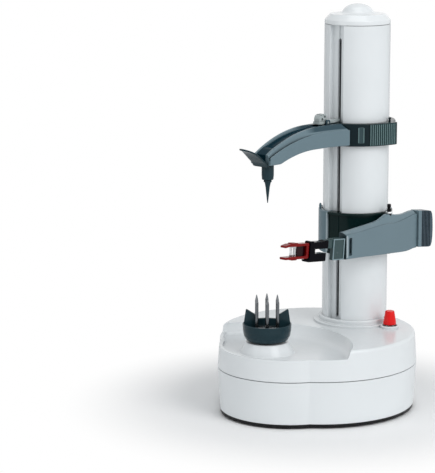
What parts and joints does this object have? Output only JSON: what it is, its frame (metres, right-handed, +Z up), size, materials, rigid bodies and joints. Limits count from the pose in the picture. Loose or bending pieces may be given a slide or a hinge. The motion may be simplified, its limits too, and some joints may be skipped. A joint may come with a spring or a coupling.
{
  "type": "electric potato peeler",
  "caption": "Counter-top electric peeler: rounded base with a driven cup, tall column, upper arm with a holding spike and a climbing carriage with a sprung blade arm.",
  "frame": {"origin": "bottom centre of the bounding box, on the surface the feet stand on", "axes": "+Z up along the column, -Y from the column towards the cup, +X towards the peeling arm's side"},
  "size_m": [0.1488, 0.173, 0.3],
  "materials": {
    "white_plastic": "glossy cool white",
    "slate_plastic": "satin slate grey",
    "dark_slate_plastic": "satin dark slate",
    "black_plastic": "satin black",
    "red_plastic": "glossy red",
    "dark_red_plastic": "glossy dark red",
    "grey_plastic": "satin light grey",
    "natural_plastic": "matte natural nylon",
    "rubber": "matte black rubber",
    "steel": "polished steel",
    "brass": "turned brass",
    "cell_label": "plain dark battery sleeve"
  },
  "bodies": {
    "base": {"base_plate": "black_plastic", "battery_door": "black_plastic", "lower_housing": "white_plastic", "upper_housing": "white_plastic", "contact_front": "steel", "contact_rear": "steel", "gear_plate": "grey_plastic", "motor": "steel", "compound_axle": "steel", "idler_axle": "steel", "spindle_bush": "brass", "screw_bush": "brass", "column_shell": "white_plastic", "column_foot_ring": "white_plastic", "top_cap": "white_plastic", "button_bezel": "white_plastic", "button_spring": "steel", "power_switch": "black_plastic", "supply_wire": "red_plastic", "motor_wire": "black_plastic", "rubber_foot_1": "rubber", "battery_cell_1": "cell_label", "case_screw_1": "steel", "rubber_foot_2": "rubber", "battery_cell_2": "cell_label", "case_screw_2": "steel", "rubber_foot_3": "rubber", "battery_cell_3": "cell_label", "case_screw_3": "steel", "rubber_foot_4": "rubber", "battery_cell_4": "cell_label", "case_screw_4": "steel", "column_screw_1": "steel", "column_screw_2": "steel"},
    "spindle": {"spindle_shaft": "steel", "spindle_gear": "natural_plastic", "cup": "dark_slate_plastic", "prongs": "steel"},
    "idler": {"idler_gear": "natural_plastic"},
    "lead_screw_assembly": {"lead_screw": "steel", "screw_gear": "natural_plastic"},
    "compound": {"compound_gear": "natural_plastic"},
    "motor_shaft": {"motor_pinion": "brass"},
    "carriage_assembly": {"carriage": "slate_plastic", "carriage_nut": "natural_plastic", "pivot_pin": "steel", "torsion_spring": "steel"},
    "peeling_lever": {"peel_arm": "slate_plastic", "lever_grip": "dark_slate_plastic", "blade_cartridge": "slate_plastic", "blade_carrier": "black_plastic"},
    "blade_fork": {"blade_frame": "dark_red_plastic"},
    "swivel_blade": {"blade": "steel"},
    "upper_assembly": {"upper_collar": "dark_slate_plastic", "upper_arm": "slate_plastic", "tip_holder": "dark_slate_plastic"},
    "spike": {"holding_spike": "dark_slate_plastic"},
    "release": {"release_lever": "grey_plastic"},
    "button": {"power_button": "red_plastic"}
  },
  "joints": [
    {"name": "spindle_spin", "type": "hinge", "parent": "base", "child": "spindle", "pos_m": [0, -0.05685, 0], "axis": [0, 0, 1], "continuous": true},
    {"name": "idler_spin", "type": "hinge", "parent": "base", "child": "idler", "pos_m": [0, -0.02185, 0], "axis": [0, 0, 1], "continuous": true},
    {"name": "screw_spin", "type": "hinge", "parent": "base", "child": "lead_screw_assembly", "pos_m": [0, 0.03065, 0], "axis": [0, 0, 1], "continuous": true},
    {"name": "compound_spin", "type": "hinge", "parent": "base", "child": "compound", "pos_m": [-0.02375, -0.02185, 0], "axis": [0, 0, 1], "continuous": true},
    {"name": "motor_spin", "type": "hinge", "parent": "base", "child": "motor_shaft", "pos_m": [-0.04973, -0.00685, 0], "axis": [0, 0, 1], "continuous": true},
    {"name": "carriage_slide", "type": "slide", "parent": "base", "child": "carriage_assembly", "axis": [0, 0, 1], "range_m": [-0.036, 0.038]},
    {"name": "peel_arm_swing", "type": "hinge", "parent": "carriage_assembly", "child": "peeling_lever", "pos_m": [0.033, 0.04175, 0.13], "axis": [0, 0, 1], "range_deg": [-10, 20], "stiffness_Nm_per_rad": 0.12},
    {"name": "blade_frame_tilt", "type": "hinge", "parent": "peeling_lever", "child": "blade_fork", "pos_m": [0.035, -0.04714, 0.12911], "axis": [0, -0.9954, 0.0958], "range_deg": [-12, 12]},
    {"name": "blade_swivel", "type": "hinge", "parent": "blade_fork", "child": "swivel_blade", "pos_m": [0.0345, -0.068, 0.13157], "axis": [0, 0.0958, 0.9954], "range_deg": [-15, 15]},
    {"name": "upper_arm_slide", "type": "slide", "parent": "base", "child": "upper_assembly", "axis": [0, 0, 1], "range_m": [-0.038, 0.068]},
    {"name": "spike_spin", "type": "hinge", "parent": "upper_assembly", "child": "spike", "pos_m": [0, -0.05685, 0.18], "axis": [0, 0, 1], "continuous": true},
    {"name": "release_press", "type": "hinge", "parent": "upper_assembly", "child": "release", "pos_m": [0, 0.00375, 0.21435], "axis": [1, 0, 0], "range_deg": [0, 6], "stiffness_Nm_per_rad": 0.05, "springref_deg": -5.73},
    {"name": "button_press", "type": "slide", "parent": "base", "child": "button", "axis": [0, 0, -1], "range_m": [0, 0.0025], "stiffness_N_per_m": 400, "springref_m": -0.001, "deforming": ["button_spring"]}
  ],
  "couplings": [
    {"joint": "idler_spin", "follows": "spindle_spin", "ratio": -1},
    {"joint": "screw_spin", "follows": "spindle_spin", "ratio": 0.5},
    {"joint": "compound_spin", "follows": "spindle_spin", "ratio": 2.8},
    {"joint": "motor_spin", "follows": "spindle_spin", "ratio": -14}
  ]
}
